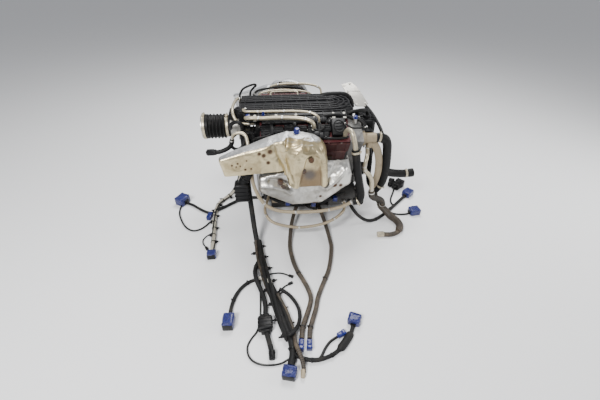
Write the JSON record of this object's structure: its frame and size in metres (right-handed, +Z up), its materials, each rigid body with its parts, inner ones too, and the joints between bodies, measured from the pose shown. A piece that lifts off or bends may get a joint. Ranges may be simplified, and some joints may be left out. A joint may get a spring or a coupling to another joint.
{
  "type": "car engine",
  "caption": "Twin-turbo V engine with heat shields, ribbed intake plenum, belt drive, coolant hoses and loose wiring looms lying around it.",
  "frame": {"origin": "centre of the sump's flat base, under the crankshaft, on the surface that the engine stands on", "axes": "+X along the crankshaft to the belt end, +Y to the far cylinder bank, +Z up"},
  "size_m": [1.3627, 1.441, 0.5716],
  "materials": {
    "cast_iron_dark": "rough cast, oily",
    "cast_aluminium": "as cast, dusty",
    "red_cover": "crackle paint, dark red",
    "machined_steel": "machined, oiled",
    "pulley_steel": "black coated",
    "black_plastic": "moulded, satin, dusty",
    "brass_plate": "machined",
    "black_rubber": "moulded rubber",
    "bright_steel": "plated, dull",
    "exhaust_iron": "rusty brown",
    "heat_shield": "pressed foil, crumpled, heat tinted",
    "plated_pipe": "dull plated, beige",
    "tan_cast": "cast, heat and coolant stained tan",
    "loom_black": "taped and ribbed sleeve",
    "loom_brown": "dusty brown hose",
    "loom_beige": "bundle of pale wires",
    "blue_wrap": "blue film wrapped round the connectors"
  },
  "bodies": {
    "engine": {"engine_block": "cast_iron_dark", "oil_pan": "cast_aluminium", "near_cylinder_head": "cast_aluminium", "far_cylinder_head": "cast_aluminium", "near_cam_cover": "red_cover", "far_cam_cover": "red_cover", "front_cover": "cast_aluminium", "pistons": "machined_steel", "timing_chains": "machined_steel", "intake_manifold": "black_plastic", "intake_plenum": "black_plastic", "throttle_body": "cast_aluminium", "inlet_bellows": "black_rubber", "hose_clamps": "bright_steel", "near_exhaust_manifold": "exhaust_iron", "far_exhaust_manifold": "exhaust_iron", "near_turbine_housing": "exhaust_iron", "far_turbine_housing": "exhaust_iron", "near_compressor_housing": "cast_aluminium", "far_compressor_housing": "cast_aluminium", "near_turbo_shield": "heat_shield", "far_turbo_shield": "heat_shield", "manifold_shield": "heat_shield", "ignition_coils": "black_plastic", "steel_pipes": "plated_pipe", "thermostat_housing": "tan_cast", "front_hose": "black_rubber", "radiator_hose": "black_rubber", "water_pump": "cast_aluminium", "alternator": "cast_aluminium", "ac_compressor": "cast_aluminium", "drive_belt": "black_rubber", "oil_filter": "tan_cast", "cover_bolts": "bright_steel", "front_loom": "loom_black", "front_branch_left": "loom_black", "front_branch_right": "loom_black", "brown_hose_left": "loom_brown", "brown_hose_right": "loom_brown", "left_loom": "loom_beige", "left_branch": "loom_black", "right_loom": "loom_black", "right_hose": "black_rubber", "loom_connectors": "blue_wrap"},
    "crank": {"crankshaft": "machined_steel", "crank_pulley": "pulley_steel", "flywheel": "machined_steel"},
    "near_intake_cam": {"near_intake_camshaft": "machined_steel"},
    "near_exhaust_cam": {"near_exhaust_camshaft": "machined_steel"},
    "far_intake_cam": {"far_intake_camshaft": "machined_steel"},
    "far_exhaust_cam": {"far_exhaust_camshaft": "machined_steel"},
    "throttle": {"throttle_plate": "brass_plate"},
    "near_rotor": {"near_turbo_rotor": "machined_steel"},
    "far_rotor": {"far_turbo_rotor": "machined_steel"},
    "pump_wheel": {"water_pump_pulley": "pulley_steel"},
    "alternator_shaft": {"alternator_rotor": "pulley_steel"},
    "ac_wheel": {"ac_pulley": "pulley_steel"},
    "tensioner": {"tensioner_arm": "cast_aluminium"},
    "tensioner_wheel": {"tensioner_pulley": "black_plastic"},
    "filler_cap": {"oil_filler_cap": "black_plastic"}
  },
  "joints": [
    {"name": "crank_turn", "type": "hinge", "parent": "engine", "child": "crank", "pos_m": [0.295, 0, 0.16], "axis": [1, 0, 0], "continuous": true},
    {"name": "near_intake_cam_turn", "type": "hinge", "parent": "engine", "child": "near_intake_cam", "pos_m": [0, -0.13652, 0.45646], "axis": [1, 0, 0], "continuous": true},
    {"name": "near_exhaust_cam_turn", "type": "hinge", "parent": "engine", "child": "near_exhaust_cam", "pos_m": [0, -0.18848, 0.42646], "axis": [1, 0, 0], "continuous": true},
    {"name": "far_intake_cam_turn", "type": "hinge", "parent": "engine", "child": "far_intake_cam", "pos_m": [0, 0.13652, 0.45646], "axis": [1, 0, 0], "continuous": true},
    {"name": "far_exhaust_cam_turn", "type": "hinge", "parent": "engine", "child": "far_exhaust_cam", "pos_m": [0, 0.18848, 0.42646], "axis": [1, 0, 0], "continuous": true},
    {"name": "pump_turn", "type": "hinge", "parent": "engine", "child": "pump_wheel", "pos_m": [0.295, 0, 0.31], "axis": [1, 0, 0], "continuous": true},
    {"name": "alternator_turn", "type": "hinge", "parent": "engine", "child": "alternator_shaft", "pos_m": [0.295, 0.19, 0.215], "axis": [1, 0, 0], "continuous": true},
    {"name": "ac_turn", "type": "hinge", "parent": "engine", "child": "ac_wheel", "pos_m": [0.295, -0.18, 0.118], "axis": [1, 0, 0], "continuous": true},
    {"name": "tensioner_swing", "type": "hinge", "parent": "engine", "child": "tensioner", "pos_m": [0.28, -0.097, 0.314], "axis": [1, 0, 0], "range_deg": [-18, 0], "stiffness_Nm_per_rad": 6, "springref_deg": 34.38},
    {"name": "tensioner_wheel_turn", "type": "hinge", "parent": "tensioner", "child": "tensioner_wheel", "pos_m": [0.295, -0.149, 0.253], "axis": [1, 0, 0], "continuous": true},
    {"name": "throttle_turn", "type": "hinge", "parent": "engine", "child": "throttle", "pos_m": [-0.318, -0.045, 0.462], "axis": [0, 0, 1], "range_deg": [0, 85], "stiffness_Nm_per_rad": 0.1, "springref_deg": -17.19},
    {"name": "near_rotor_turn", "type": "hinge", "parent": "engine", "child": "near_rotor", "pos_m": [-0.1, -0.322, 0.432], "axis": [1, 0, 0], "continuous": true},
    {"name": "far_rotor_turn", "type": "hinge", "parent": "engine", "child": "far_rotor", "pos_m": [-0.1, 0.322, 0.432], "axis": [1, 0, 0], "continuous": true},
    {"name": "filler_cap_turn", "type": "hinge", "parent": "engine", "child": "filler_cap", "pos_m": [0.062, 0.20566, 0.49621], "axis": [0, 0.5, 0.866], "range_deg": [0, 90]}
  ],
  "couplings": [
    {"joint": "near_intake_cam_turn", "follows": "crank_turn", "ratio": 0.5},
    {"joint": "near_exhaust_cam_turn", "follows": "crank_turn", "ratio": 0.5},
    {"joint": "far_intake_cam_turn", "follows": "crank_turn", "ratio": 0.5},
    {"joint": "far_exhaust_cam_turn", "follows": "crank_turn", "ratio": 0.5},
    {"joint": "pump_turn", "follows": "crank_turn", "ratio": 1.2408},
    {"joint": "alternator_turn", "follows": "crank_turn", "ratio": 2.3932},
    {"joint": "ac_turn", "follows": "crank_turn", "ratio": 1.349},
    {"joint": "tensioner_wheel_turn", "follows": "crank_turn", "ratio": -2.1898}
  ]
}
